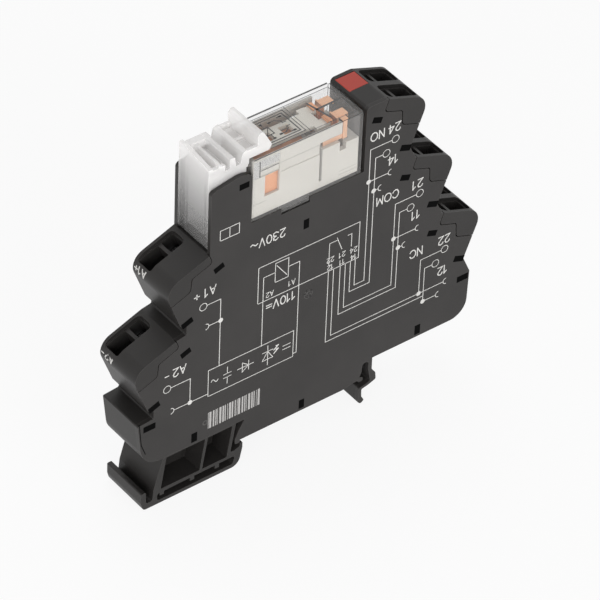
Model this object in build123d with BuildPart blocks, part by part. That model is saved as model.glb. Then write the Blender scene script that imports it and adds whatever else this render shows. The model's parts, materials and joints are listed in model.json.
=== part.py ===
from build123d import *

import os
from math import cos, radians, sin

# Interface relay for a 35 mm rail: a flat two-shell housing, a plug-in relay and a release lever.
# Millimetres. X runs across the rail, Y along it (the module's width) and Z away from it.
# The origin is the middle of the rail's 35 mm width, on the plane where its flanges touch the housing.

# Module and shells
width = 12.8
shell = 1.0
half = width / 2
inner = half - shell
floor_t = 1.2
gap = 0.15
parting_gap = 0.2

# Rail
rail_width = 35.0
flange_t = 1.0
rail_play = 0.3
rail_edge = rail_width / 2

# Terminal levels: a rounded block, stepped outwards and down on both sides
level_tilt_right = 20.5
level_tilt_left = 21.0
level_right = (18.7, 77.7)
level_left = (-27.2, 56.7)
step_right = (8.6, -19.6)
step_left = (-8.3, -19.5)
level_out = 12.5
level_depth = 12.7
nose_r_right = 3.8
nose_r_left = 3.8
block_depth = 4.0
rows_right = 3
rows_left = 2

# Openings of one terminal: the release slot and the wire entry, measured out from the level's corner
column_right = 3.2
column_left = 3.3
opening_w = 4.3
release_from = 1.4
release_len_right = 2.6
release_len_left = 3.5
partition = 0.6
wire_len_right = 4.9
wire_len_left = 5.6
funnel_taper = 3
mouth_depth = 0.9

# Heights of the housing
under_side = 5.4
seat_floor = 60.6
top_block = 77.6
lower_left = 17.8
lower_right = 17.8
left_end = 45.4
right_end = 45.0
nose_tip = -0.75

# Relay bay and lever post
bay_left = -16.7
bay_right = 13.3
post_left = -27.2
post_top = 74.7
lever_floor = 56.55
guide_t = 0.8

# Relay module
relay_left = bay_left + 0.1
relay_len = 29.3
relay_height = 16.3
relay_half = 6.25
case_t = 0.6
relay_right = relay_left + relay_len
relay_bottom = seat_floor + 0.1
relay_top = relay_bottom + relay_height
base_plate_t = 1.8
pin_pitch = 5.0
pin_x_open = 11.0
pin_y = 2.5
pin_len = 3.6
pin_t = 0.5
pin_w = 1.0
coil_pin_x = -12.0
coil_pin_y = 4.3
coil_pin_w = 0.6
coil_pin_end = 1.2
x_open = pin_x_open
x_common = x_open - pin_pitch
x_closed = x_common - pin_pitch
pin_tip = relay_bottom - pin_len
socket_w = 2.2
toe_pocket_end = coil_pin_x - 2.3
step_wall = 0.8
plate_top = relay_bottom + 0.2 + base_plate_t

# Release lever
pivot = (-25.9, 58.1)
hub_r = 1.3
journal_r = 0.9
journal_gap = 0.06
journal_len = 0.6
lever_half = inner - gap
toe_len = 11.2
toe_half = 3.2
lever_over_relay = 0.3

# Coil and armature
coil_z = relay_bottom + 8.4
core_r = 2.0
barrel_r = 2.5
winding_r = 4.5
flange_r = 4.8
flange_w = 0.8
coil_left = -14.0
coil_right = 0.4
yoke_t = 1.3
yoke_half = 3.5
armature_t = 0.9
pole_gap = 0.46

# Contact set
contact_gap = 0.55
leaf_t = 0.25
blade_t = 0.4
leaf_w = 2.8
rivet_r = 0.75
contact_z = relay_bottom + 12.2
card_z = relay_bottom + 14.3
card_t = 1.0
leaf_root = relay_bottom + 4.3

# Busbars and clamps
bus_t = 0.8
bus_w = 2.6
bar_t = 1.0
bar_w = 2.4
clamp_t = 0.4
clamp_w = 4.0

# Rail foot
foot_half = half - 0.1
foot_travel = 2.2
web = 0.7
jaw_reach = 0.5


def side_plane(y):
    """The XZ plane at this y, seen from the front; a positive extrusion comes towards the front."""
    return Plane(origin=(0, y, 0), x_dir=(1, 0, 0), z_dir=(0, -1, 0))


def closed(corners):
    """Closed line through corners given as (x, z) or (x, z, radius)."""
    FilletPolyline(
        [corner[:2] for corner in corners],
        radius=[corner[2] if len(corner) > 2 else 0 for corner in corners],
        close=True,
    )


def slab(corners, y_front, y_back, mode=Mode.ADD):
    """Outline extruded between two values of y."""
    with BuildSketch(side_plane(y_front)) as face:
        with BuildLine():
            closed(corners)
        make_face()
    extrude(face.sketch, amount=y_front - y_back, mode=mode)


def block(x0, x1, y0, y1, z0, z1, mode=Mode.ADD):
    """Box between two corners."""
    with Locations(((x0 + x1) / 2, (y0 + y1) / 2, (z0 + z1) / 2)):
        Box(x1 - x0, y1 - y0, z1 - z0, mode=mode)


def rod(x, y0, y1, z, radius, mode=Mode.ADD):
    """Round bar along Y."""
    with BuildSketch(side_plane(y0)) as face:
        with Locations((x, z)):
            Circle(radius)
    extrude(face.sketch, amount=y0 - y1, mode=mode)


def level_corner(side, row):
    start, step = (level_right, step_right) if side > 0 else (level_left, step_left)
    return start[0] + row * step[0], start[1] + row * step[1]


def on_level(side, row, u, w):
    """Point u outwards along a level's top face and w above it."""
    tilt = radians(level_tilt_right if side > 0 else level_tilt_left)
    x, z = level_corner(side, row)
    return (
        x + side * (u * cos(tilt) + w * sin(tilt)),
        z - u * sin(tilt) + w * cos(tilt),
    )


def level_plane(side, row, y):
    """Plane across the width at y, its x outwards along the level's top face and its y out of it."""
    tilt = radians(level_tilt_right if side > 0 else level_tilt_left)
    x, z = level_corner(side, row)
    return Plane(
        origin=(x, y, z),
        x_dir=(side * cos(tilt), 0, -sin(tilt)),
        z_dir=(0, -side, 0),
    )


def top_plane(side, row, y):
    """Plane of a level's top face, its x outwards and its z out of the face."""
    tilt = radians(level_tilt_right if side > 0 else level_tilt_left)
    x, z = level_corner(side, row)
    return Plane(
        origin=(x, y, z),
        x_dir=(side * cos(tilt), 0, -sin(tilt)),
        z_dir=(side * sin(tilt), 0, cos(tilt)),
    )


def hook_outline():
    """Fixed rail hook: a sprung arm, the lip under the flange and a hanging toe."""
    edge = rail_edge
    return [
        (edge - 7.1, 0, 3),
        (edge - 4.1, 0.6, 0.6),
        (edge - 2.9, 0.6, 0.2),
        (edge - 2.7, 0, 0.2),
        (edge - 1.6, 0, 0.4),
        (edge - 1.6, 1.1, 0.4),
        (edge - 2.6, 1.3, 0.2),
        (edge - 2.0, 2.6, 0.8),
        (edge - 1.8, 5.0, 0.8),
        (edge - 0.1, 5.0, 0.8),
        (edge - 0.1, 2.6, 0.5),
        (edge + rail_play, 0.5, 0.5),
        (edge + 0.6, -flange_t - 0.1, 0.3),
        (edge - 0.5, -flange_t - 0.5, 0.5),
        (edge - 2.4, -flange_t - 0.9, 0.5),
        (edge - 2.6, -6.0, 0.6),
        (edge - 1.8, -6.7, 0.5),
        (edge - 0.9, -6.0, 0.4),
        (edge - 1.7, -4.6, 0.6),
        (edge - 1.75, -2.5, 0.4),
        (edge + 0.1, -2.1, 1.0),
        (edge + 2.2, -1.3, 0.5),
        (edge + 2.0, 0.7, 0.8),
        (edge + 0.9, 2.2, 0.6),
        (edge + 0.9, under_side + 0.1),
    ]


def right_outline():
    """Right flank from the bottom corner up to the top of the first level."""
    points = [
        (right_end - 0.4, under_side + 0.1, 4.5),
        (right_end, lower_right, 0.4),
        (*level_corner(1, rows_right), 0.5),
    ]
    for row in reversed(range(rows_right)):
        points += [
            (*on_level(1, row, level_out - 0.2, -level_depth), 0.3),
            (*on_level(1, row, level_out, 0), nose_r_right),
            (*level_corner(1, row), 0.4 if row else 2.0),
        ]
    return points


def left_outline():
    """Left flank from the first level down to the bottom corner."""
    points = []
    for row in range(rows_left):
        x, z = on_level(-1, row, level_out + 0.1, -level_depth + 0.3)
        next_x, next_z = level_corner(-1, row + 1)
        points += [
            (*level_corner(-1, row), 0.4),
            (*on_level(-1, row, level_out + 0.1, 0), nose_r_left),
            (x, z, 0.5),
            (x + 1.6, z - 0.5, 0.3),
            (x + 1.6, next_z + 0.5, 0.4),
        ]
    return points + [
        (-left_end, lower_left, 0.3),
        (-left_end + 1.4, under_side, 5.5),
    ]


def housing_outline():
    """Side view of the housing without the lever post."""
    return [
        *hook_outline(),
        *right_outline(),
        (bay_right, top_block, 1.0),
        (bay_right, seat_floor, 0.2),
        (bay_left, seat_floor),
        (bay_left, lever_floor),
        *left_outline(),
        (0.8 - rail_edge, under_side),
        (-0.8 - rail_edge, 2.8, 1.5),
        (-1.7 - rail_edge, 0.6, 0.8),
        (-1.7 - rail_edge, nose_tip, 0.5),
        (-rail_edge - rail_play, nose_tip, 0.4),
        (-rail_edge - rail_play, 0),
    ]


def cavity_outline():
    """Inside of the housing, a wall inside its outline and clear of the terminal blocks."""
    points = [
        (rail_edge - 8.1, floor_t, 0.5),
        (rail_edge - 6.5, under_side + floor_t + 0.1, 0.5),
        (right_end - 1.5, under_side + floor_t + 0.1, 3.5),
        (right_end - 1.1, lower_right - 0.3, 0.5),
        on_level(1, rows_right - 1, level_out - 1.1, -level_depth),
    ]
    for row in reversed(range(rows_right)):
        points += [
            (*on_level(1, row, level_out - 1.1, -block_depth), 0.5),
        ]
        if row:
            points.append((*on_level(1, row, -3.5, -block_depth), 0.5))
    points += [
        (bay_right + floor_t, 75.0, 0.5),
        (bay_right + floor_t, seat_floor + 0.6, 0.5),
        (bay_right - 1.2, seat_floor - floor_t),
        (toe_pocket_end + step_wall, seat_floor - floor_t),
        (toe_pocket_end + step_wall, lever_floor - floor_t),
        (-25.8, lever_floor - floor_t),
        on_level(-1, 0, 0, -block_depth),
    ]
    for row in range(rows_left):
        x, z = on_level(-1, row, level_out - 1.0, -level_depth + 1.2)
        low = level_corner(-1, row + 1)[1]
        drop = -block_depth if row + 1 < rows_left else 0
        points += [
            (*on_level(-1, row, level_out - 1.0, -block_depth), 0.5),
            (x, z),
            (x + 2.2, z - 1.4),
            (x + 2.2, low + drop + 0.9 if drop else lower_left - floor_t),
        ]
    return points + [
        (-left_end + 1.4, lower_left - floor_t, 0.3),
        (-left_end + 2.8, under_side + floor_t, 4.0),
        (1.2 - rail_edge, under_side + floor_t),
        (2.0 - rail_edge, floor_t, 0.5),
    ]


def nose_outline(side, row, spare=0.0):
    """Front face of a terminal block down to the stepped parting line, grown by spare."""
    first, second = (3.05, 6.6) if side > 0 else (2.2, 5.2)
    low, lower = -first - spare, -second - spare
    inner_edge = 0.7 - spare if side > 0 else 0.2 - spare
    corners = [
        (inner_edge, 1.5, 0),
        (inner_edge, low, 0.9),
        (5.9 - spare, low, 0.7),
        (7.4 - spare, lower, 1.2),
        (level_out + 1.5, lower, 0),
        (level_out + 1.5, 1.5, 0),
    ]
    return [(*on_level(side, row, u, w), r) for u, w, r in corners]


def level_windows(side, rows):
    """Latch windows that repeat with the levels: (x, z, angle, length, height)."""
    angle = -side * (level_tilt_right if side > 0 else level_tilt_left)
    found = []
    for row in range(rows):
        x, z = level_corner(side, row)
        found.append((x - side * 2.45, z - 4.5, angle, 2.4, 1.15))
        found.append((*on_level(side, row, 10.9, -12.7), angle, 2.7, 1.2))
    return found


def latch_windows():
    return [
        *level_windows(1, rows_right),
        *level_windows(-1, rows_left),
        (-1.8, 53.4, 90, 2.3, 1.1),
        (-42.3, 16.2, 0, 2.9, 1.3),
        (-1.1, 1.9, 90, 2.2, 1.1),
        (30.9, 7.5, 90, 2.4, 1.2),
        (43.1, 16.6, 0, 2.9, 1.3),
    ]


tongue_front = -inner - 0.2
foot_window = (-30.3, 7.2, 90, 2.3, 1.2)
post_window = (bay_left - 2.0, 71.6, 0, 2.3, 1.2)


def cut_openings(side, row, y):
    """Shared mouth, release slot and wire entry of one terminal, through its block."""
    release = release_len_right if side > 0 else release_len_left
    wire = wire_len_right if side > 0 else wire_len_left
    wire_from = release_from + release + partition
    mouth = wire_from + wire - release_from + 0.6
    with BuildSketch(top_plane(side, row, y).offset(1)) as face:
        with Locations((release_from - 0.3 + mouth / 2, 0)):
            RectangleRounded(mouth, opening_w + 0.5, 1.2)
    extrude(face.sketch, amount=-1 - mouth_depth, mode=Mode.SUBTRACT)
    for start, length in ((release_from, release), (wire_from, wire)):
        with BuildSketch(top_plane(side, row, y).offset(1)) as face:
            with Locations((start + length / 2, 0)):
                RectangleRounded(length, opening_w, 0.5)
        extrude(face.sketch, amount=-(block_depth + 2), taper=funnel_taper, mode=Mode.SUBTRACT)


def latch_tongue(window, y_front, y_back):
    """Post of the base that stands in a window of the cover."""
    x, z, angle, length, height = window
    with BuildSketch(side_plane(y_front)) as face:
        with Locations((x, z)):
            Rectangle(length - 0.2, height - 0.2, rotation=angle)
    extrude(face.sketch, amount=y_front - y_back)


tag_from = 13.8
tag_len = 5.2
tag_w = 5.2
tag_t = 1.0
tag_y = 2.9
foot_neck = (-rail_edge - 17.5, -rail_edge - 6.5)
foot_neck_half = 3.3
spring_rib = -rail_edge - 23.3
led_x = -21.4
led_y = 2.0
led_r = 1.5

board_x = (-24.4, -6.0)
board_z = (14.0, 51.0)
board_back = inner - 0.6
board_t = 1.2
board_front = board_back - board_t
bar_posts = [(14.5, 54.8), (14.0, 40.5), (23.0, 40.5), (6.0, 20.5), (18.0, 20.5), (29.0, 20.5)]

# Base housing: the moulded tray with back wall, rim, terminal blocks and rail hook
with BuildPart() as base_housing:
    slab(housing_outline(), -inner, half)
    slab(cavity_outline(), -inner, inner, mode=Mode.SUBTRACT)
    for side, rows in ((1, rows_right), (-1, rows_left)):
        for row in range(rows):
            with BuildSketch(side_plane(-half)):
                with BuildLine():
                    closed(housing_outline())
                make_face()
                with BuildSketch(mode=Mode.INTERSECT):
                    with BuildLine():
                        closed(nose_outline(side, row))
                    make_face()
            extrude(amount=-shell)
    for row in range(rows_right):
        for y in (-column_right, column_right):
            cut_openings(1, row, y)
    for row in range(rows_left):
        cut_openings(-1, row, column_left)
    # back wall of the lever post, and the wall that guides the relay
    post = [
        (bay_left, lever_floor - 0.2),
        (bay_left, post_top - 0.7, 1.6),
        (bay_left - 3.0, post_top, 6.0),
        (post_left, post_top - 1.4, 1.0),
        (post_left, lever_floor - 0.2),
    ]
    slab(post, inner, half)
    block(bay_left - guide_t, bay_left, -inner, inner, seat_floor + 0.3, 72.6)
    # toe pocket under the relay and the light hole below the lever
    block(bay_left, toe_pocket_end, -inner, inner, lever_floor, seat_floor + 1, Mode.SUBTRACT)
    block(bay_left - 1, bay_left + 1, -toe_half - 0.3, toe_half + 0.3, lever_floor, 65.4, Mode.SUBTRACT)
    with BuildSketch(Plane.XY.offset(lever_floor + 0.5)):
        with Locations((led_x, led_y)):
            Circle(led_r + 0.15)
    extrude(amount=-3, mode=Mode.SUBTRACT)
    rod(pivot[0], 0, inner + journal_len + 0.1, pivot[1], journal_r + journal_gap, Mode.SUBTRACT)
    # pin slots in the seat
    with BuildSketch(Plane.XY.offset(seat_floor + 1)):
        for x in (x_open, x_common, x_closed):
            with Locations((x, pin_y), (x, -pin_y)):
                Rectangle(1.2, 1.8)
        with Locations((coil_pin_x, coil_pin_y), (coil_pin_x, -coil_pin_y)):
            Rectangle(1.2, 1.4)
    extrude(amount=-4, mode=Mode.SUBTRACT)
    # recess of the marker tag
    block(
        tag_from, tag_from + tag_len, tag_y - tag_w / 2, tag_y + tag_w / 2,
        top_block - tag_t, top_block + 1, Mode.SUBTRACT,
    )
    for window in latch_windows():
        latch_tongue(window, tongue_front, half - 0.5)
    latch_tongue(foot_window, tongue_front, -inner + 1.0)
    latch_tongue(post_window, tongue_front, -inner + 0.8)
    block(
        post_window[0] - 1.05, bay_left - guide_t + 0.1, -inner, -inner + 0.8,
        post_window[1] - 0.5, post_window[1] + 0.5,
    )
    # slot for the foot's neck and the rib its spring leans on
    block(
        foot_neck[0] - foot_travel - gap, foot_neck[1] + gap,
        -foot_neck_half - gap, foot_neck_half + gap, under_side - 1, under_side + 2, Mode.SUBTRACT,
    )
    block(spring_rib - 1, spring_rib, -3, 3, under_side + 0.5, under_side + 4.4)
    # posts that carry the busbars and the circuit board
    for x, z in bar_posts:
        rod(x, pin_y + bus_t / 2, inner + 0.2, z, 0.9)
    for x in (board_x[0] + 1.5, board_x[1] - 1.5):
        for z in (board_z[0] + 1.5, board_z[1] - 1.5):
            rod(x, board_back, inner + 0.2, z, 1.0)
base_housing.part.label = "base_housing"

# Side cover: the flat front shell, cut round the terminal blocks
with BuildPart() as side_cover:
    slab(housing_outline(), -half, -inner)
    slab(
        [
            (bay_left, seat_floor - 1),
            (bay_left, post_top - 0.7, 1.6),
            (bay_left - 3.0, post_top, 6.0),
            (post_left, post_top - 1.4, 1.0),
            (post_left, lever_floor - 0.2),
            (bay_left, lever_floor - 0.2),
        ],
        -half, -inner,
    )
    for side, rows in ((1, rows_right), (-1, rows_left)):
        for row in range(rows):
            slab(nose_outline(side, row, parting_gap), -half - 1, -inner + 1, Mode.SUBTRACT)
    for x, z, angle, length, height in [*latch_windows(), foot_window, post_window]:
        with BuildSketch(side_plane(-half - 1)):
            with Locations((x, z)):
                Rectangle(length, height, rotation=angle)
        extrude(amount=-3, mode=Mode.SUBTRACT)
    # slot for the relay's front tab and the blind bearing of the lever
    block(-8.7, -1.1, -half - 1, -inner + 1, seat_floor - 1.5, seat_floor + 1, Mode.SUBTRACT)
    rod(pivot[0], -inner - journal_len - 0.1, 0, pivot[1], journal_r + journal_gap, Mode.SUBTRACT)
    for x, z in bar_posts:
        rod(x, -inner - 0.2, -pin_y - bus_t / 2, z, 0.9)
side_cover.part.label = "side_cover"

# Marker tag
with BuildPart() as marker_tag:
    block(
        tag_from + 0.05, tag_from + tag_len - 0.05, tag_y - tag_w / 2 + 0.05, tag_y + tag_w / 2 - 0.05,
        top_block - tag_t, top_block + 0.05,
    )
    chamfer(marker_tag.faces().sort_by(Axis.Z)[-1].edges(), 0.15)
marker_tag.part.label = "marker_tag"


def foot_outline():
    """Side view of the rail foot: screwdriver pocket on the left, hooked jaw on the right."""
    edge = -rail_edge
    jaw = edge + jaw_reach
    bottom = -7.3
    top = under_side - 0.1
    return [
        (edge - 26.1, bottom, 1.0),
        (edge - 0.5, bottom, 2.4),
        (jaw, -2.6, 1.0),
        (jaw, -flange_t - 0.1, 0.2),
        (jaw - 0.6, -flange_t - 0.1, 0.2),
        (jaw - 0.75, -2.0, 0.6),
        (edge - 1.7, -2.5, 0.4),
        (edge - 2.8, -2.5, 0.4),
        (edge - 1.45, top),
        (edge - 20.9, top, 0.3),
        (edge - 22.3, 1.0, 14),
        (edge - 23.4, -2.8, 0.4),
        (edge - 23.7, -5.7, 0.6),
        (edge - 25.4, -5.7, 0.6),
        (edge - 25.45, -2.4, 0.3),
        (edge - 26.7, -2.4, 0.3),
        (edge - 26.7, -5.2, 2.5),
    ]


def foot_cells():
    """Recesses of the foot, open on both faces against a middle web."""
    lean = 1.4
    edge = -rail_edge
    low, high = -3.4, under_side - 0.35
    found = [
        [(x0, high, 0.2), (x1, high, 0.2), (x1 - lean, low, 0.2), (x0 - lean, low, 0.2)]
        for x0, x1 in ((edge - 20.1, edge - 9.7), (edge - 9.0, edge - 2.4))
    ]
    left, right = edge - 22.4, edge - 1.4
    found.append([(left, -4.4, 0.6), (right, -4.1, 0.6), (right - 0.7, -6.3, 0.6), (left, -6.4, 0.6)])
    return found


# Rail foot: sliding jaw with its neck and head inside the housing
with BuildPart() as rail_foot:
    slab(foot_outline(), -foot_half, foot_half)
    for cell in foot_cells():
        slab(cell, -foot_half - 1, -web, Mode.SUBTRACT)
        slab(cell, web, foot_half + 1, Mode.SUBTRACT)
    for x in (-21.7, -13.6, -6.9):
        block(x - rail_edge, x - rail_edge + 1.1, -foot_half, foot_half, -5.2, -4.0)
    neck_z = under_side + floor_t + 0.1
    block(*foot_neck, -foot_neck_half, foot_neck_half, under_side - 0.6, neck_z + 0.5)
    block(
        foot_neck[0] - 1.0, foot_neck[1] + 1.2, -4.1, 4.1, neck_z, neck_z + 2.5,
    )
rail_foot.part.label = "rail_foot"

spring_z = under_side + floor_t + 1.3
spring_from = spring_rib + 0.02
spring_to = foot_neck[0] - 1.0

# Foot spring: a folded steel leaf between the housing's rib and the foot's head
with BuildPart() as foot_spring:
    leaf = 0.3
    with BuildSketch(side_plane(-2)):
        with BuildLine():
            FilletPolyline(
                (spring_from + leaf / 2, spring_z - 0.3),
                (spring_from + leaf / 2, spring_z + 1.2),
                (spring_from + 1.5, spring_z + 1.3),
                (spring_to - 1.5, spring_z - 0.9),
                (spring_to - leaf / 2, spring_z - 0.8),
                (spring_to - leaf / 2, spring_z + 1.1),
                radius=0.4,
            )
        trace(line_width=leaf)
    extrude(amount=-4)
foot_spring.part.label = "foot_spring"

deck_z = relay_top + lever_over_relay


def lever_profile():
    """Walls of the lever that run over its whole width, as closed outlines."""
    face_in = post_left + 1.0
    return [
        # face and outer wall
        [(post_left, pivot[1]), (post_left, 79.9, 0.3), (face_in, 79.9, 0.3), (face_in, pivot[1])],
        # deck over the post
        [(post_left, 75.4), (post_left, 76.8), (bay_left - 0.4, 76.8), (bay_left - 0.4, 75.4)],
        # ribs of the grip
        [(-24.6, 76.5), (-24.6, 79.0, 0.2), (-23.9, 79.0, 0.2), (-23.9, 76.5)],
        [(-21.8, 76.5), (-21.8, 79.3, 0.3), (-20.5, 79.2, 0.3), (-20.1, 76.5)],
        [(-19.1, 76.5), (-18.5, 79.4, 0.3), (-17.2, 79.9, 0.3), (-17.2, 76.5)],
        # block and deck over the relay's end
        [
            (-17.4, 75.9), (-17.4, deck_z + 0.8), (-13.6, deck_z + 0.8),
            (-13.6, deck_z), (-16.8, deck_z), (-16.8, 75.9),
        ],
        # leaning finger fin
        [
            (-14.4, deck_z), (-14.7, 81.9, 0.3), (-14.0, 82.7, 0.5), (-13.2, 82.6, 0.4),
            (-10.9, deck_z + 1.2, 0.6), (-11.6, deck_z, 0.3),
        ],
    ]


# Release lever: a clear moulding that also guides light to its top
with BuildPart() as release_lever:
    for wall in lever_profile():
        slab(wall, -lever_half, lever_half)
    rod(pivot[0], -lever_half, lever_half, pivot[1], hub_r)
    rod(pivot[0], -inner - journal_len, inner + journal_len, pivot[1], journal_r)
    # toe that lifts the relay
    toe = [
        (pivot[0] + 0.3, pivot[1] + 1.2), (bay_left - 1.6, pivot[1] + 1.2, 0.6),
        (bay_left + 0.2, seat_floor - 0.25, 0.5), (pivot[0] + toe_len, seat_floor - 0.25, 0.4),
        (pivot[0] + toe_len, pivot[1] + 1.2, 0.4), (bay_left, pivot[1], 1.0),
        (pivot[0] + 1.5, pivot[1] - 1.1, 0.5), (pivot[0] + 0.2, pivot[1] - 1.1),
    ]
    slab(toe, -toe_half, toe_half)
    # ribs behind the face and cheeks under the deck
    for y in (-2.9, 3.4):
        block(post_left + 0.8, -22.0, y - 0.4, y + 0.4, pivot[1] + 0.8, 75.6)
    for y in (-lever_half, lever_half - 0.8):
        block(post_left + 0.8, -20.4, y, y + 0.8, 71.0, 75.6)
        block(-21.0, -17.5, y, y + 0.8, 72.9, 76.0)
    # end cheeks and partition of the two pockets beside the fin
    for y in (-lever_half, lever_half - 0.8):
        block(-17.6, -12.9, y, y + 0.8, deck_z + 0.4, 79.5)
    block(-17.4, -13.3, -0.3, 0.3, deck_z + 0.4, 78.9)
    # end blocks of the grip pockets
    block(-26.4, -20.3, lever_half - 1.8, lever_half, 76.5, 79.2)
    block(-26.4, -23.0, -lever_half, -lever_half + 0.9, 76.5, 78.3)
    # the left block slopes down towards the front
    with BuildSketch(Plane.YZ.offset(post_left - 1)):
        with BuildLine():
            Polyline(
                (-lever_half - 1, 78.5), (lever_half - 1.8, 79.9), (lever_half - 1.8, 81),
                (-lever_half - 1, 81), close=True,
            )
        make_face()
    extrude(amount=-23.4 - post_left + 1, mode=Mode.SUBTRACT)
release_lever.part.label = "release_lever"

# Relay case: a clear cap, open below, with a locating tab on its front edge
with BuildPart() as relay_case:
    block(relay_left, relay_right, -relay_half, relay_half, relay_bottom, relay_top)
    fillet(relay_case.edges().filter_by(Axis.Z), 0.5)
    fillet(relay_case.faces().sort_by(Axis.Z)[-1].edges(), 0.4)
    block(
        relay_left + case_t, relay_right - case_t, -relay_half + case_t, relay_half - case_t,
        relay_bottom - 1, relay_top - case_t, Mode.SUBTRACT,
    )
    block(-8.5, -1.3, -relay_half, -relay_half + case_t, relay_bottom - 1.2, relay_bottom + 0.5)
relay_case.part.label = "relay_case"

base_left = relay_left + case_t + 0.1
base_right = relay_right - case_t - 0.1
base_half = relay_half - case_t - 0.05
tower_steps = ((2.4, 7.0, 10.3), (6.9, 8.8, 7.9), (8.7, base_right, 9.5))
box_wall = 0.6
box_right = 1.7
box_top = relay_top - case_t - 0.4
beam_right = 7.5
beam_height = 2.9
window_x = (-12.7, -8.9)
window_z = (relay_bottom + 4.7, relay_bottom + 10.3)
band_z = (relay_bottom + 9.4, relay_bottom + 12.1)
band_depth = 0.2
clip_t = 0.25
clip_left = base_left + 0.2
clip_right = window_x[1]
clip_bottom = window_z[1] + 0.1
clip_top = box_top - 0.4
leaf_channel = leaf_w / 2 + 0.15
pocket_half = 1.95
run_z = plate_top - 0.75
closed_x = x_common - leaf_t / 2 - rivet_r * 0.45 - 0.08 - 0.35 - blade_t / 2
open_x = x_common + leaf_t / 2 + rivet_r * 0.45 + contact_gap + 0.35 + blade_t / 2

# Relay base: the white insulating carrier with the coil box and the contact tower
with BuildPart() as relay_base:
    block(base_left, base_right, -base_half, base_half, relay_bottom + 0.2, plate_top)
    for y, outer in ((-base_half, -base_half), (base_half - box_wall, base_half)):
        block(base_left, box_right, y, y + box_wall, plate_top - 0.2, box_top)
        block(box_right - 0.1, beam_right, y, y + box_wall, box_top - beam_height, box_top)
        block(window_x[0], window_x[1], y - 1, y + 1 + box_wall, *window_z, Mode.SUBTRACT)
        block(
            window_x[1] + 0.4, box_right + 0.1, outer - band_depth, outer + band_depth,
            *band_z, Mode.SUBTRACT,
        )
    # seat of the clip in the front wall
    block(
        clip_left - 0.05, clip_right + 0.05, -base_half - 0.1, -base_half + clip_t + 0.05,
        clip_bottom - 0.05, clip_top + 0.05, Mode.SUBTRACT,
    )
    for x0, x1, height in tower_steps:
        block(x0, x1, -base_half, base_half, plate_top - 0.2, relay_bottom + height)
    for y in (-pin_y, pin_y):
        block(3.1, 10.2, y - pocket_half, y + pocket_half, plate_top, box_top, Mode.SUBTRACT)
        # channels of the contact blades in the plate
        for x0, x1 in ((x_closed - 0.5, closed_x + 0.5), (open_x - 0.5, x_open + 0.5)):
            block(x0, x1, y - leaf_channel, y + leaf_channel, run_z - 0.4, plate_top + 0.01, Mode.SUBTRACT)
        with BuildSketch(Plane.XY.offset(relay_bottom)):
            with Locations((x_open, y), (x_common, y), (x_closed, y)):
                Rectangle(pin_t + 0.1, pin_w + 0.1)
            with Locations((coil_pin_x, coil_pin_y), (coil_pin_x, -coil_pin_y)):
                Rectangle(pin_t + 0.1, coil_pin_w + 0.1)
        extrude(amount=plate_top - relay_bottom + 0.5, mode=Mode.SUBTRACT)
relay_base.part.label = "relay_base"

# Clip: plated sheet set into the front wall beside the window
with BuildPart() as coil_clip:
    clip_leg = clip_left + 1.4
    block(clip_left, clip_leg, -base_half + 0.02, -base_half + clip_t, clip_bottom, clip_top)
    block(clip_leg - 0.1, clip_right, -base_half + 0.02, -base_half + clip_t, clip_top - 2.2, clip_top)
    fillet(coil_clip.edges().filter_by(Axis.Y), 0.15)
coil_clip.part.label = "coil_clip"


def ring(x0, x1, r_out, r_in, mode=Mode.ADD):
    """Sleeve round the coil's axis."""
    with BuildSketch(Plane.YZ.offset(x0)) as face:
        with Locations((0, coil_z)):
            Circle(r_out)
            if r_in:
                Circle(r_in, mode=Mode.SUBTRACT)
    extrude(face.sketch, amount=x1 - x0, mode=mode)


# Coil bobbin, winding and core
with BuildPart() as coil_bobbin:
    ring(coil_left, coil_right, barrel_r, core_r + 0.02)
    ring(coil_left, coil_left + flange_w, flange_r, barrel_r - 0.1)
    ring(coil_right - flange_w, coil_right, flange_r, barrel_r - 0.1)
coil_bobbin.part.label = "coil_bobbin"

with BuildPart() as coil_winding:
    ring(coil_left + flange_w, coil_right - flange_w, winding_r, barrel_r)
coil_winding.part.label = "coil_winding"

yoke_right = coil_right + 0.1 + yoke_t
pole_x = coil_left - 0.35

with BuildPart() as magnet_core:
    ring(pole_x + 0.2, yoke_right, core_r, 0)
    ring(pole_x, coil_left - 0.02, core_r + 0.7, 0)
magnet_core.part.label = "magnet_core"

armature_x = pole_x - pole_gap - armature_t
hinge_z = plate_top + 0.02 + yoke_t + armature_t / 2 + 0.06

# Yoke: bent iron strip under the coil and up behind it
with BuildPart() as yoke:
    yoke_bottom = plate_top + 0.02
    slab(
        [
            (armature_x + 0.4, yoke_bottom), (yoke_right, yoke_bottom, 0.8),
            (yoke_right, coil_z + flange_r - 0.1, 0.3), (yoke_right - yoke_t, coil_z + flange_r - 0.1, 0.3),
            (yoke_right - yoke_t, yoke_bottom + yoke_t, 0.2), (armature_x + 0.4, yoke_bottom + yoke_t),
        ],
        -yoke_half, yoke_half,
    )
    ring(yoke_right - yoke_t - 1, yoke_right + 1, core_r + 0.02, 0, Mode.SUBTRACT)
yoke.part.label = "yoke"

# Armature: the hinged iron plate in front of the pole
with BuildPart() as armature:
    block(armature_x, armature_x + armature_t, -3.4, 3.4, hinge_z, coil_z + 4.2)
    block(armature_x, armature_x + armature_t, -2.2, 2.2, coil_z + 4.0, card_z + card_t / 2 + 0.3)
    fillet(armature.edges().filter_by(Axis.X), 0.3)
    rod(armature_x + armature_t / 2, -3.4, 3.4, hinge_z, armature_t / 2)
armature.part.label = "armature"

card_from = armature_x + armature_t + 0.08
card_to = x_common - leaf_t / 2 - 0.08

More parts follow.
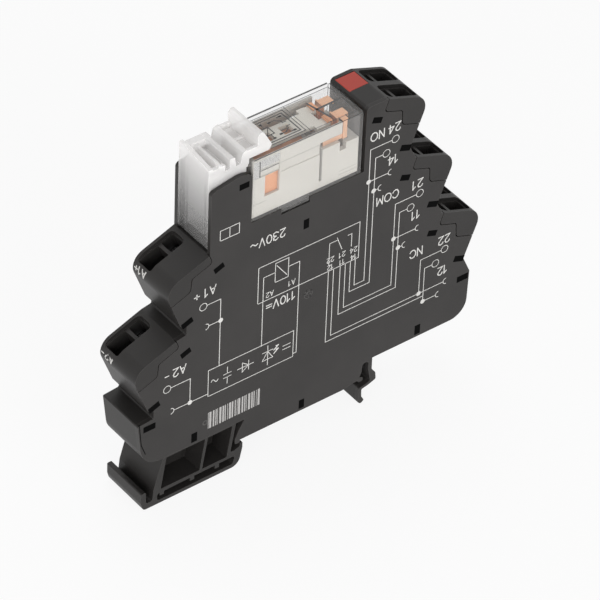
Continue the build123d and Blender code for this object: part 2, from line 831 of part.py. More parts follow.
# Pusher card: carries the armature's stroke to both contact springs
with BuildPart() as pusher_card:
    block(card_from, card_to - 1.6, -2.4, 2.4, card_z - card_t / 2, card_z + card_t / 2)
    block(card_to - 3.6, card_to - 1.5, -pin_y - 1.3, pin_y + 1.3, card_z - card_t / 2, card_z + card_t / 2)
    for y in (-pin_y, pin_y):
        block(card_to - 1.7, card_to, y - 1.1, y + 1.1, card_z - card_t / 2, card_z + card_t / 2)
    for x in (-9.5, -4.5):
        block(x, x + 2.6, -1.4, 1.4, card_z - 2, card_z + 2, Mode.SUBTRACT)
pusher_card.part.label = "pusher_card"


def strip(points, y, strip_w, thick, bend=0.3):
    """Bent metal strip: a path in the XZ plane, strip_w wide along Y about y."""
    with BuildSketch(side_plane(y)) as face:
        with BuildLine():
            if len(points) > 2:
                FilletPolyline(*points, radius=bend)
            else:
                Line(*points)
        trace(line_width=thick)
    extrude(face.sketch, amount=strip_w / 2, both=True)


def rivet(x0, x1, y, z):
    """Contact rivet along X."""
    with BuildSketch(Plane.YZ.offset(x0)) as face:
        with Locations((y, z)):
            Circle(rivet_r)
    extrude(face.sketch, amount=x1 - x0)


def write(name, built):
    built.part.label = name
    export_step(built.part, f"parts/{name}.step")


os.makedirs("parts", exist_ok=True)
for built in (
    base_housing, side_cover, marker_tag, rail_foot, foot_spring, release_lever, relay_case, relay_base,
    coil_clip, coil_bobbin, coil_winding, magnet_core, yoke, armature, pusher_card,
):
    export_step(built.part, f"parts/{built.part.label}.step")

# Contact set of the relay, once in the front half and once in the back half
blade_top = contact_z + 0.9
leaf_top = relay_top - case_t - 0.4
for name, y in (("front", -pin_y), ("back", pin_y)):
    with BuildPart() as closed_contact:
        strip([(x_closed, pin_tip), (x_closed, run_z)], y, pin_w, pin_t)
        strip([(x_closed - 0.2, run_z), (closed_x, run_z), (closed_x, blade_top)], y, leaf_w, blade_t)
        rivet(closed_x + blade_t / 2 - 0.05, closed_x + blade_t / 2 + 0.35, y, contact_z)
    write(f"closed_contact_{name}", closed_contact)

    with BuildPart() as open_contact:
        strip([(x_open, pin_tip), (x_open, run_z)], y, pin_w, pin_t)
        strip([(x_open + 0.2, run_z), (open_x, run_z), (open_x, leaf_top)], y, leaf_w, blade_t)
        rivet(open_x - blade_t / 2 - 0.35, open_x - blade_t / 2 + 0.05, y, contact_z)
    write(f"open_contact_{name}", open_contact)

    with BuildPart() as common_pin:
        strip([(x_common, pin_tip), (x_common, plate_top)], y, pin_w, pin_t)
        strip([(x_common, plate_top), (x_common, leaf_root - 0.2)], y, leaf_w, blade_t)
    write(f"common_pin_{name}", common_pin)

    with BuildPart() as moving_contact:
        strip([(x_common, leaf_root), (x_common, leaf_top)], y, leaf_w, leaf_t)
        rod(x_common, y - leaf_w / 2, y + leaf_w / 2, leaf_root, leaf_t / 2)
        rivet_out = leaf_t / 2 + rivet_r * 0.45
        rivet(x_common - rivet_out, x_common + rivet_out, y, contact_z)
    write(f"moving_contact_{name}", moving_contact)

    side = -1 if name == "front" else 1
    with BuildPart() as coil_pin:
        legs = [(coil_pin_x, pin_tip), (coil_pin_x, plate_top + coil_pin_end)]
        strip(legs, side * coil_pin_y, coil_pin_w, pin_t)
    write(f"coil_pin_{name}", coil_pin)

bar_u = 5.4
bar_from = -5.0
bar_to = -12.2
fork_top = seat_floor - floor_t - 0.15


def current_bar(side, row, y):
    """Bar that the wire is clamped against, upright in its level."""
    with BuildSketch(level_plane(side, row, y)) as face:
        with Locations((bar_u, (bar_from + bar_to) / 2)):
            Rectangle(bar_t, bar_from - bar_to)
    extrude(face.sketch, amount=bar_w / 2, both=True)


def clamp_spring(side, row, y):
    """Tension clamp: a leaf that loops over and holds the wire to the bar through its window."""
    leg = bar_u - bar_t / 2 - clamp_t / 2
    with BuildSketch(level_plane(side, row, y)) as face:
        with BuildLine():
            FilletPolyline(
                (leg, -9.3), (leg, -5.3), (leg - 3.0, -4.9), (leg - 3.2, -10.9), (9.6, -10.9), (10.1, -9.9),
                radius=0.8,
            )
        trace(line_width=clamp_t)
    extrude(face.sketch, amount=clamp_w / 2, both=True)
    with BuildSketch(level_plane(side, row, y)) as face:
        with Locations((7.0, -10.9)):
            Rectangle(4.4, 1.4)
    extrude(face.sketch, amount=bar_w / 2 + 0.1, both=True, mode=Mode.SUBTRACT)


def fork(x, y, thick):
    """Slot that takes a relay pin."""
    block(
        x - pin_t / 2 - 0.05, x + pin_t / 2 + 0.05, y - thick, y + thick,
        pin_tip - 0.6, fork_top + 1, Mode.SUBTRACT,
    )


# Busbars of the contact side: open, common and closed contacts of both halves
circuits = (
    ("4", x_open, 0, 54.8, 1.2),
    ("1", x_common, 1, 40.5, 1.2),
    ("2", x_closed, 2, 20.5, 1.2),
)
for half_name, side_y in (("1", -1), ("2", 1)):
    for digit, x, row, run, lead in circuits:
        end = on_level(1, row, bar_u, bar_to + 0.8)
        with BuildPart() as busbar:
            strip(
                [(x, fork_top), (x, run), (end[0] - lead, run), end],
                side_y * pin_y, bus_t, bus_w, 1.6,
            )
            current_bar(1, row, side_y * column_right)
            fork(x, side_y * pin_y, bus_t)
        write(f"busbar_{half_name}{digit}", busbar)
        with BuildPart() as clamp:
            clamp_spring(1, row, side_y * column_right)
        write(f"clamp_{half_name}{digit}", clamp)

# Circuit board of the coil side and what is soldered to it
with BuildPart() as circuit_board:
    block(*board_x, board_front, board_back, *board_z)
write("circuit_board", circuit_board)

with BuildPart() as suppressor_capacitor:
    block(-22.4, -10.4, board_front - 5.0, board_front, 16.0, 24.5)
    fillet(suppressor_capacitor.edges().filter_by(Axis.Y), 0.6)
write("suppressor_capacitor", suppressor_capacitor)

with BuildPart() as series_resistor:
    with BuildSketch(Plane.YZ.offset(-20.0)):
        with Locations((board_front - 1.3, 28.5)):
            Circle(1.2)
    extrude(amount=7.0)
    fillet(series_resistor.edges(), 0.4)
    for x in (-21.6, -12.4):
        block(x - 0.3, x + 0.3, board_front - 1.6, board_front, 28.2, 28.8)
    block(-21.9, -19.0, board_front - 1.6, board_front - 1.0, 28.2, 28.8)
    block(-14.0, -12.1, board_front - 1.6, board_front - 1.0, 28.2, 28.8)
write("series_resistor", series_resistor)

with BuildPart() as bridge_rectifier:
    block(-20.5, -13.5, board_front - 2.8, board_front, 33.0, 39.0)
    chamfer(bridge_rectifier.faces().sort_by(Axis.Y)[0].edges(), 0.4)
write("bridge_rectifier", bridge_rectifier)

with BuildPart() as status_led:
    with BuildSketch(Plane.XY.offset(board_z[1] - 1.5)):
        with Locations((led_x, led_y)):
            Circle(led_r)
    extrude(amount=lever_floor - 0.4 - board_z[1] + 1.5)
    fillet(status_led.faces().sort_by(Axis.Z)[-1].edges(), 1.2)
    for x in (-0.8, 0.8):
        block(led_x + x - 0.2, led_x + x + 0.2, led_y - 0.2, board_front, 48.6, 49.0)
        block(led_x + x - 0.2, led_x + x + 0.2, led_y - 0.2, led_y + 0.2, 48.6, 49.6)
write("status_led", status_led)

# Coil sockets: forks from the board up to the relay's coil pins
for name, y in (("front", -coil_pin_y), ("back", coil_pin_y)):
    with BuildPart() as coil_socket:
        strip([(coil_pin_x, fork_top), (coil_pin_x, board_z[1] + 0.1)], y, bus_t, socket_w)
        fork(coil_pin_x, y, bus_t)
        if y < 0:
            foot_z = board_z[1] - 6.0
            strip([(coil_pin_x, board_z[1] + 0.5), (coil_pin_x, foot_z)], y, bus_t, 1.2)
            block(coil_pin_x - 0.6, coil_pin_x + 0.6, y, board_front, foot_z, foot_z + bus_t)
        else:
            block(
                coil_pin_x - socket_w / 2, coil_pin_x + socket_w / 2, board_front - bus_t, board_front,
                board_z[1] - 3.0, board_z[1] + 1.0,
            )
            block(
                coil_pin_x - socket_w / 2, coil_pin_x + socket_w / 2, board_front - bus_t, y + bus_t / 2,
                board_z[1] + 0.1, board_z[1] + 1.0,
            )
    write(f"coil_socket_{name}", coil_socket)

# Input terminals: busbars to the board, and their clamps
for name, row in (("plus", 0), ("minus", 1)):
    end = on_level(-1, row, bar_u, bar_to + 0.8)
    with BuildPart() as input_bar:
        strip(
            [end, (end[0] + 1.2, end[1] - 3.2), (board_x[0] + 1.6, end[1] - 3.2)],
            board_front - bus_t / 2, bus_t, bus_w, 1.5,
        )
        current_bar(-1, row, column_left)
    write(f"input_bar_{name}", input_bar)
    with BuildPart() as input_clamp:
        clamp_spring(-1, row, column_left)
    write(f"input_clamp_{name}", input_clamp)
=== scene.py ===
import json
import math

import bpy
from mathutils import Matrix, Vector


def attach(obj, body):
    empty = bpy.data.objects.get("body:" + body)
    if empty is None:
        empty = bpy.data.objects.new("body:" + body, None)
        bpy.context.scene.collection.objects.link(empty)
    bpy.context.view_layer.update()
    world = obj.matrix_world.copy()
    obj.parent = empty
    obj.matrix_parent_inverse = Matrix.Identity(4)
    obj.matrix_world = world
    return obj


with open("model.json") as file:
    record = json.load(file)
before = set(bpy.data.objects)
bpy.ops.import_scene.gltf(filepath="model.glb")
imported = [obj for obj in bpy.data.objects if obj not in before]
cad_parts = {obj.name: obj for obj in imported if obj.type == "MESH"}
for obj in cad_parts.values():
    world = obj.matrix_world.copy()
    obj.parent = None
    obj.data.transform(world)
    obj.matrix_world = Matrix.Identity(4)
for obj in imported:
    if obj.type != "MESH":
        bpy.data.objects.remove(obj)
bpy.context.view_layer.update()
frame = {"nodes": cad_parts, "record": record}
nodes = frame["nodes"]

# Millimetres in the frame of the part, apart from MM
MM = 0.001
FRONT = -6.4          # y of the cover's face
PRINT_X = -43.5       # where the print's own coordinates start
PRINT_Z = -7.3
RELAY_TOP = 77.0
CASE_LEFT, CASE_RIGHT, CASE_SIDE, CASE_BOTTOM = -16.5, 12.6, 6.15, 61.0
CARRIER_FRONT = -5.6  # y of the white carrier's face
NOSE_R = 3.8          # rounding of the coil blocks' lower corner
LINE = 0.17           # width of printed lines
INK_T = 0.03          # thickness of printed lines
LETTER_GAP = 0.22     # between letters one unit high

# Metres
FLOOR_Z = -0.0075
FLOOR_HALF = 3.0
GRAIN_SCALE = 3600.0
CLOUD_SCALE = 90.0
EDGE_RADIUS = 0.00015
GRAIN_DEPTH = 0.00004
# the stripes across the lever are painted shade
LEVER_SIDE = 0.006    # half width of the stripes across the lever


# Materials

def material(
    name, color, rough=0.5, metallic=0.0, vary=0.12, bump=0.15, edge_wear_and_highlight=1.35, specular=0.5,
    alpha=None, rim_alpha=None, coat=0.0, clear_and_shaded_below=None,
):
    """Procedural surface: mottled colour, uneven gloss, fine grain and lighter edges, partly wear and partly
    painted highlight.

    rim_alpha is the opacity where the surface is seen edge on. clear_and_shaded_below is (low z, high z,
    share):
    below high z the surface grows clearer and darker, down to that share at low z, with stripes along Y; the
    darkening and the stripes are painted shade.
    """
    mat = bpy.data.materials.new(name)
    mat.use_nodes = True
    tree = mat.node_tree
    shader = tree.nodes["Principled BSDF"]
    link = tree.links.new
    coords = tree.nodes.new("ShaderNodeTexCoord")
    cloud = tree.nodes.new("ShaderNodeTexNoise")
    cloud.inputs["Scale"].default_value = CLOUD_SCALE
    cloud.inputs["Detail"].default_value = 5.0
    link(coords.outputs["Object"], cloud.inputs["Vector"])
    fine = tree.nodes.new("ShaderNodeTexNoise")
    fine.inputs["Scale"].default_value = GRAIN_SCALE
    fine.inputs["Detail"].default_value = 3.0
    link(coords.outputs["Object"], fine.inputs["Vector"])
    tint = tree.nodes.new("ShaderNodeValToRGB")
    tint.color_ramp.elements[0].position = 0.3
    tint.color_ramp.elements[1].position = 0.7
    tint.color_ramp.elements[0].color = [*(c * (1 - vary) for c in color), 1]
    tint.color_ramp.elements[1].color = [*(min(1, c * (1 + vary)) for c in color), 1]
    link(cloud.outputs["Fac"], tint.inputs["Fac"])
    # lighter edges found with the Bevel node: partly wear and partly painted highlight
    geometry = tree.nodes.new("ShaderNodeNewGeometry")
    rounded = tree.nodes.new("ShaderNodeBevel")
    rounded.samples = 4
    rounded.inputs["Radius"].default_value = EDGE_RADIUS
    turn = tree.nodes.new("ShaderNodeVectorMath")
    turn.operation = "DOT_PRODUCT"
    link(rounded.outputs["Normal"], turn.inputs[0])
    link(geometry.outputs["Normal"], turn.inputs[1])
    edge = tree.nodes.new("ShaderNodeMapRange")
    edge.inputs["From Min"].default_value = 0.99
    edge.inputs["From Max"].default_value = 0.80
    edge.inputs["To Max"].default_value = 0.8
    link(turn.outputs["Value"], edge.inputs["Value"])
    mix = tree.nodes.new("ShaderNodeMix")
    mix.data_type = "RGBA"
    link(edge.outputs["Result"], mix.inputs["Factor"])
    link(tint.outputs["Color"], mix.inputs["A"])
    mix.inputs["B"].default_value = [*(min(1, c * edge_wear_and_highlight) for c in color), 1]
    surface = mix.outputs["Result"]
    if clear_and_shaded_below:
        low, high, share = clear_and_shaded_below
        axis = tree.nodes.new("ShaderNodeSeparateXYZ")
        link(coords.outputs["Object"], axis.inputs["Vector"])
        fade = tree.nodes.new("ShaderNodeMapRange")
        fade.inputs["From Min"].default_value = low
        fade.inputs["From Max"].default_value = high
        fade.inputs["To Min"].default_value = share
        link(axis.outputs["Z"], fade.inputs["Value"])
        band = tree.nodes.new("ShaderNodeMapRange")
        band.inputs["From Min"].default_value = -LEVER_SIDE
        band.inputs["From Max"].default_value = LEVER_SIDE
        link(axis.outputs["Y"], band.inputs["Value"])
        stripes = tree.nodes.new("ShaderNodeValToRGB")
        stops = stripes.color_ramp.elements
        stops[0].color, stops[1].color = (0.8, 0.8, 0.8, 1), (0.9, 0.9, 0.9, 1)
        for place, value in (
            (0.08, 0.9), (0.4, 1.0), (0.72, 0.85), (0.76, 0.2), (0.86, 0.1), (0.89, 0.7),
        ):
            stops.new(place).color = (value, value, value, 1)
        link(band.outputs["Result"], stripes.inputs["Fac"])
        clear = tree.nodes.new("ShaderNodeMix")
        clear.data_type = "RGBA"
        link(fade.outputs["Result"], clear.inputs["Factor"])
        link(stripes.outputs["Color"], clear.inputs["A"])
        clear.inputs["B"].default_value = (1, 1, 1, 1)
        # painted shade: the base colour is darkened towards the bottom, and in stripes along Y
        for value in (clear.outputs["Result"], fade.outputs["Result"]):
            darker = tree.nodes.new("ShaderNodeMix")
            darker.data_type = "RGBA"
            darker.blend_type = "MULTIPLY"
            darker.inputs["Factor"].default_value = 1.0
            link(surface, darker.inputs["A"])
            link(value, darker.inputs["B"])
            surface = darker.outputs["Result"]
    link(surface, shader.inputs["Base Color"])
    gloss = tree.nodes.new("ShaderNodeMapRange")
    gloss.inputs["To Min"].default_value = max(0.02, rough - 0.07)
    gloss.inputs["To Max"].default_value = min(1.0, rough + 0.07)
    link(fine.outputs["Fac"], gloss.inputs["Value"])
    link(gloss.outputs["Result"], shader.inputs["Roughness"])
    relief = tree.nodes.new("ShaderNodeBump")
    relief.inputs["Strength"].default_value = bump
    relief.inputs["Distance"].default_value = GRAIN_DEPTH
    link(fine.outputs["Fac"], relief.inputs["Height"])
    link(relief.outputs["Normal"], shader.inputs["Normal"])
    shader.inputs["Metallic"].default_value = metallic
    shader.inputs["Specular IOR Level"].default_value = specular
    if coat:
        shader.inputs["Coat Weight"].default_value = coat
    if rim_alpha is not None:
        rim = tree.nodes.new("ShaderNodeLayerWeight")
        rim.inputs["Blend"].default_value = 0.35
        spread = tree.nodes.new("ShaderNodeMapRange")
        spread.inputs["To Min"].default_value = alpha
        spread.inputs["To Max"].default_value = rim_alpha
        link(rim.outputs["Facing"], spread.inputs["Value"])
        level = spread.outputs["Result"]
        if clear_and_shaded_below:
            scale = tree.nodes.new("ShaderNodeMath")
            scale.operation = "MULTIPLY"
            link(level, scale.inputs[0])
            link(fade.outputs["Result"], scale.inputs[1])
            # the lever's edges are also made more opaque, as part of the painted highlight
            rims = tree.nodes.new("ShaderNodeMath")
            rims.operation = "ADD"
            rims.use_clamp = True
            link(scale.outputs["Value"], rims.inputs[0])
            link(edge.outputs["Result"], rims.inputs[1])
            level = rims.outputs["Value"]
        link(level, shader.inputs["Alpha"])
    elif alpha is not None:
        shader.inputs["Alpha"].default_value = alpha
    return mat


looks = {
    "housing_black": material(
        "housing_black", (0.0225, 0.021, 0.020), 0.42, bump=0.4, specular=0.24, edge_wear_and_highlight=3.2,
    ),
    "lever_translucent": material(
        "lever_translucent", (0.96, 0.945, 0.935), 0.25, vary=0.03, bump=0.005, edge_wear_and_highlight=1.05,
        alpha=0.48, rim_alpha=0.88, clear_and_shaded_below=(0.058, 0.0785, 0.42),
    ),
    "case_clear": material(
        "case_clear", (0.70, 0.69, 0.68), 0.06, vary=0.03, bump=0.02, edge_wear_and_highlight=1.2,
        alpha=0.05, rim_alpha=0.24,
    ),
    "relay_white": material("relay_white", (0.57, 0.55, 0.505), 0.45, vary=0.04, edge_wear_and_highlight=1.12),
    "card_natural": material("card_natural", (0.83, 0.80, 0.72), 0.42, vary=0.04),
    "marker_red": material("marker_red", (0.44, 0.062, 0.046), 0.42, vary=0.06, specular=0.25),
    "copper": material("copper", (0.80, 0.36, 0.17), 0.42, metallic=0.35),
    "contact_alloy": material("contact_alloy", (0.82, 0.47, 0.29), 0.3, metallic=0.6, vary=0.1),
    "tinned_pin": material("tinned_pin", (0.68, 0.68, 0.67), 0.3, metallic=0.95, vary=0.08),
    "plated_iron": material("plated_iron", (0.52, 0.52, 0.51), 0.34, metallic=0.95, vary=0.1),
    "tinned_bar": material("tinned_bar", (0.70, 0.69, 0.67), 0.33, metallic=0.95, vary=0.1),
    "spring_steel": material("spring_steel", (0.61, 0.605, 0.595), 0.28, metallic=0.95, vary=0.08),
    "board_green": material("board_green", (0.035, 0.19, 0.075), 0.4, vary=0.15),
    "capacitor_body": material("capacitor_body", (0.55, 0.08, 0.05), 0.3, vary=0.08),
    "resistor_body": material("resistor_body", (0.09, 0.26, 0.40), 0.35, vary=0.08),
    "chip_black": material("chip_black", (0.025, 0.025, 0.025), 0.4, vary=0.1),
    "led_lens": material("led_lens", (0.72, 0.74, 0.58), 0.12, vary=0.04, coat=0.5),
}
# painted light: the cover gets a lighter copy of the housing's black, so that its face comes out brighter
cover_black_painted_lighter = material(
    "cover_black_painted_lighter", (0.0265, 0.0245, 0.0235), 0.42, bump=0.4, specular=0.26, edge_wear_and_highlight=3.2,
)
slot_of = {entry["node"]: entry["material_slot"] for entry in frame["record"]["subparts"]}
for name, node in nodes.items():
    node.data.materials.clear()
    node.data.materials.append(cover_black_painted_lighter if name == "side_cover" else looks[slot_of[name]])

# Inks and dark lines of the scene's own pieces
ink = material("white_ink", (0.62, 0.61, 0.59), 0.6, vary=0.08, bump=0.2, edge_wear_and_highlight=1.05)
recess = material("moulded_mark", (0.052, 0.049, 0.047), 0.35, vary=0.3, bump=1.0)


# Pieces made of flat boxes

BOX_FACES = ((0, 1, 3, 2), (4, 6, 7, 5), (0, 4, 5, 1), (2, 3, 7, 6), (0, 2, 6, 4), (1, 5, 7, 3))


class Plate:
    """Collects thin boxes into one mesh, which rides on a body.

    on_top prints on the relay's top. end_x prints on an end face, and is its x and the z where it rounds off.
    """

    def __init__(self, name, mat, body="housing", slot="housing_black", on_top=False, end_x=None):
        self.name, self.mat, self.body, self.slot = name, mat, body, slot
        self.on_top, self.end_x = on_top, end_x
        self.verts, self.faces = [], []

    def box(self, center, half, axes=((1, 0, 0), (0, 1, 0), (0, 0, 1))):
        """Box of half sizes along three axes, in millimetres."""
        first = len(self.verts)
        for i in (-1, 1):
            for j in (-1, 1):
                for k in (-1, 1):
                    point = Vector(center)
                    for sign, length, axis in zip((i, j, k), half, axes):
                        point = point + Vector(axis) * (sign * length)
                    self.verts.append(point * MM)
        for quad in BOX_FACES:
            self.faces.append([first + corner for corner in quad])

    def tile(self, outer, inner=None):
        """Flat printed shape on the cover: a ring between two outlines, or a filled outline."""
        depth = FRONT - INK_T * 1.2
        first = len(self.verts)
        count = len(outer)
        for x, z in outer:
            self.verts.append(Vector((x + PRINT_X, depth, z + PRINT_Z)) * MM)
        if inner is None:
            self.faces.append(list(range(first, first + count)))
            return
        for x, z in inner:
            self.verts.append(Vector((x + PRINT_X, depth, z + PRINT_Z)) * MM)
        for k in range(count):
            after = (k + 1) % count
            self.faces.append([first + k, first + after, first + count + after, first + count + k])

    def done(self):
        mesh = bpy.data.meshes.new(self.name)
        mesh.from_pydata([tuple(v) for v in self.verts], [], self.faces)
        mesh.validate()
        piece = bpy.data.objects.new(self.name, mesh)
        bpy.context.scene.collection.objects.link(piece)
        mesh.materials.append(self.mat)
        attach(piece, self.body)
        return piece



def stroke(plate, points, width=LINE):
    """Printed line through points: on the cover in the print's coordinates, on the relay or on an end."""
    for number, ((u0, v0), (u1, v1)) in enumerate(zip(points, points[1:])):
        thick = INK_T * (0.7 + 0.15 * (number % 3))
        if plate.end_x is not None:
            end_x, tangent_z = plate.end_x
            lift = max(0.0, (v0 + v1) / 2 - tangent_z) / NOSE_R
            normal = Vector((-math.sqrt(1 - lift * lift), 0, lift))
            rise = v1 - v0
            run = Vector((rise * lift, u0 - u1, rise * -normal.x))
            face_x = end_x + NOSE_R * (1 + normal.x)
            center = Vector((face_x, -(u0 + u1) / 2, (v0 + v1) / 2)) + normal * thick / 2
        elif plate.on_top:
            run, normal = Vector((u1 - u0, v1 - v0, 0)), Vector((0, 0, 1))
            center = ((u0 + u1) / 2, (v0 + v1) / 2, RELAY_TOP + thick / 2)
        else:
            run, normal = Vector((u1 - u0, 0, v1 - v0)), Vector((0, -1, 0))
            center = ((u0 + u1) / 2 + PRINT_X, FRONT - thick / 2, (v0 + v1) / 2 + PRINT_Z)
        along = run.normalized()
        half = (run.length / 2 + width / 2, thick / 2, width / 2)
        plate.box(center, half, (along, normal, along.cross(normal)))


def circle_points(x, z, radius, steps=28):
    turns_of = [2 * math.pi * k / steps for k in range(steps)]
    return [(x + radius * math.cos(turned), z + radius * math.sin(turned)) for turned in turns_of]


def ring(plate, x, z, radius, filled=False, width=LINE):
    """Printed circle, or a filled dot."""
    if filled:
        plate.tile(circle_points(x, z, radius))
    else:
        outer = circle_points(x, z, radius + width / 2)
        plate.tile(outer, circle_points(x, z, radius - width / 2))


def cup(plate, x, z, side, radius=0.75):
    """Printed half circle, open on its far side."""
    arc = [
        (x + side * radius * (1 - math.sin(math.pi * k / 12)), z + radius * math.cos(math.pi * k / 12))
        for k in range(13)
    ]
    stroke(plate, arc)


def frame_box(plate, x0, x1, z0, z1):
    stroke(plate, [(x0, z0), (x1, z0), (x1, z1), (x0, z1), (x0, z0)])


diagram = Plate("wiring_diagram", ink)
# relay symbol with its coil
frame_box(diagram, 29.3, 56.4, 44.3, 54.3)
frame_box(diagram, 33.8, 37.3, 48.2, 53.5)
stroke(diagram, [(34.2, 52.7), (36.9, 49.0)])
stroke(diagram, [(33.8, 51.0), (30.7, 51.0), (30.7, 31.8)])
stroke(diagram, [(37.3, 51.0), (40.3, 51.0), (40.3, 25.3), (39.4, 25.3)])
stroke(diagram, [(48.3, 46.0), (48.3, 52.0), (50.3, 52.0)])
stroke(diagram, [(50.3, 52.7), (51.7, 49.0)])
stroke(diagram, [(53.3, 52.0), (54.3, 52.0), (54.3, 48.5)])
# leads of the contacts: (column, level of the run, column at the terminal, its height, circle)
leads = (
    (54.3, 35.6, 59.8, 70.2, (62.7, 70.2)),
    (55.6, 36.9, 58.3, 73.1, (65.0, 73.1)),
    (51.5, 30.5, 67.3, 51.7, (70.3, 51.7)),
    (52.9, 31.8, 66.0, 54.6, (72.7, 54.6)),
    (49.7, 25.4, 74.1, 35.0, (80.8, 35.0)),
    (48.3, 24.1, 75.4, 32.0, (78.4, 32.0)),
)
for column, level, riser, top, circle in leads:
    path = [(column, 44.3), (column, level), (riser, level), (riser, top), (circle[0] - 1.0, top)]
    stroke(diagram, path)
    ring(diagram, *circle, 0.95)


def lead_fork(plate, x0, x1, z):
    """Test-point branch: a line with a small open fork at its end."""
    stroke(plate, [(x0, z), (x1, z)])
    cup(plate, x1, z, 1 if x1 > x0 else -1)


for x0, x1, z in (
    (58.2, 63.5, 64.4), (59.7, 60.9, 61.3), (66.0, 72.0, 44.9), (67.4, 68.5, 41.8),
    (74.1, 81.0, 25.4), (75.4, 79.0, 22.5),
):
    ring(diagram, x0, z, 0.62, filled=True)
    lead_fork(diagram, x0, x1, z)
stroke(diagram, [(75.4, 24.1), (75.4, 22.5)])
# coil side
ring(diagram, 14.8, 50.7, 0.95)
stroke(diagram, [(15.8, 50.7), (19.4, 50.7), (19.4, 31.9)])
ring(diagram, 19.5, 44.7, 0.62, filled=True)
lead_fork(diagram, 19.5, 16.4, 44.7)
ring(diagram, 5.7, 32.1, 0.95)
stroke(diagram, [(6.7, 32.1), (11.8, 32.1), (11.8, 25.3), (16.6, 25.3)])
ring(diagram, 11.8, 25.3, 0.62, filled=True)
lead_fork(diagram, 11.8, 7.6, 25.3)
# protective circuit: resistor, capacitor, bridge and lamp in one box
frame_box(diagram, 16.6, 39.4, 24.5, 31.9)
wave = [(17.4 + 0.2 * k, 28.2 + 0.45 * math.sin(2 * math.pi * k / 9)) for k in range(10)]
stroke(diagram, wave)
stroke(diagram, [(20.7, 28.6), (22.7, 28.6)])
stroke(diagram, [(20.7, 27.6), (22.7, 27.6)])
stroke(diagram, [(21.7, 28.6), (21.7, 30.4)])
stroke(diagram, [(21.7, 27.6), (21.7, 25.8)])
stroke(diagram, [(24.4, 28.2), (28.7, 28.2)])
stroke(diagram, [(25.7, 29.5), (27.4, 28.2), (25.7, 26.9), (25.7, 29.5)])
stroke(diagram, [(27.4, 29.5), (27.4, 26.9)])
stroke(diagram, [(32.5, 25.6), (32.5, 31.0)])
stroke(diagram, [(31.1, 27.2), (32.5, 29.4), (33.9, 27.2), (31.1, 27.2)])
stroke(diagram, [(31.1, 29.4), (33.9, 29.4)])
for shift in (0.0, 1.0):
    stroke(diagram, [(34.2, 28.0 + shift), (35.3, 28.9 + shift), (34.8, 28.9 + shift)], 0.3)
stroke(diagram, [(36.6, 28.8), (38.6, 28.8)])
stroke(diagram, [(36.6, 27.8), (38.6, 27.8)])
diagram.done()

# plain bar field beside the diagram
bar_ink = material("bar_ink", (0.42, 0.41, 0.40), 0.6, bump=0.2, edge_wear_and_highlight=1.05)
bars = Plate("bar_field", bar_ink)
edge_x, bars_end, bars_z = 16.8, 30.2, 17.4
k = 0
while edge_x < bars_end:
    wide = 0.15 + 0.13 * ((k * 7) % 4)
    center = (edge_x + wide / 2 + PRINT_X, FRONT - INK_T / 2, bars_z + PRINT_Z)
    bars.box(center, (wide / 2, INK_T / 2, 2.3))
    edge_x += wide + 0.2 + 0.1 * ((k * 5) % 3)
    k += 1
bars.done()


# Letters as strokes on a grid one unit high
ROUND = [
    (0.3 - 0.3 * math.sin(math.pi * k / 6), 0.5 + 0.5 * math.cos(math.pi * k / 6)) for k in range(13)
]
GLYPHS = {
    "1": [[(0.1, 0.76), (0.38, 1), (0.38, 0)]],
    "2": [[
        (0.02, 0.76), (0.1, 0.93), (0.3, 1), (0.5, 0.93), (0.57, 0.75), (0.5, 0.55), (0, 0), (0.6, 0),
    ]],
    "3": [[
        (0.02, 0.84), (0.3, 1), (0.55, 0.9), (0.55, 0.64), (0.26, 0.53), (0.58, 0.4), (0.58, 0.12),
        (0.3, 0), (0, 0.16),
    ]],
    "4": [[(0.46, 0), (0.46, 1), (0, 0.28), (0.62, 0.28)]],
    "0": [ROUND],
    "O": [[(x * 1.35, z) for x, z in ROUND]],
    "C": [[(x * 1.25, z) for x, z in ROUND[10:12] + ROUND[:9]]],
    "A": [[(0, 0), (0.34, 1), (0.68, 0)], [(0.12, 0.34), (0.56, 0.34)]],
    "N": [[(0, 0), (0, 1), (0.6, 0), (0.6, 1)]],
    "M": [[(0, 0), (0.05, 1), (0.38, 0.25), (0.71, 1), (0.76, 0)]],
    "V": [[(0, 1), (0.33, 0), (0.66, 1)]],
    "+": [[(0.02, 0.45), (0.58, 0.45)], [(0.3, 0.18), (0.3, 0.72)]],
    "-": [[(0.1, 0.42), (0.5, 0.42)]],
    "=": [[(0, 0.32), (0.6, 0.32)], [(0, 0.6), (0.6, 0.6)]],
    "~": [[(0.09 * k, 0.42 + 0.12 * math.sin(2 * math.pi * k / 9)) for k in range(10)]],
}


def divided(points, parts):
    """The same line in shorter pieces, so that it can follow a curved face."""
    found = [points[0]]
    for (u0, v0), (u1, v1) in zip(points, points[1:]):
        for k in range(1, parts + 1):
            found.append((u0 + (u1 - u0) * k / parts, v0 + (v1 - v0) * k / parts))
    return found


def label(plate, words, x, z, height, width):
    """Terminal lettering, upside down on the cover as on the real module."""
    widths = [max(gx for line in GLYPHS[letter] for gx, gz in line) + LETTER_GAP for letter in words]
    pen = x + (sum(widths) - LETTER_GAP) * height / 2
    for letter, advance in zip(words, widths):
        for line in GLYPHS[letter]:
            places = [(pen - gx * height, z + (0.5 - gz) * height) for gx, gz in line]
            if plate.end_x:
                places = divided(places, 4)
            stroke(plate, places, width)
        pen -= advance * height


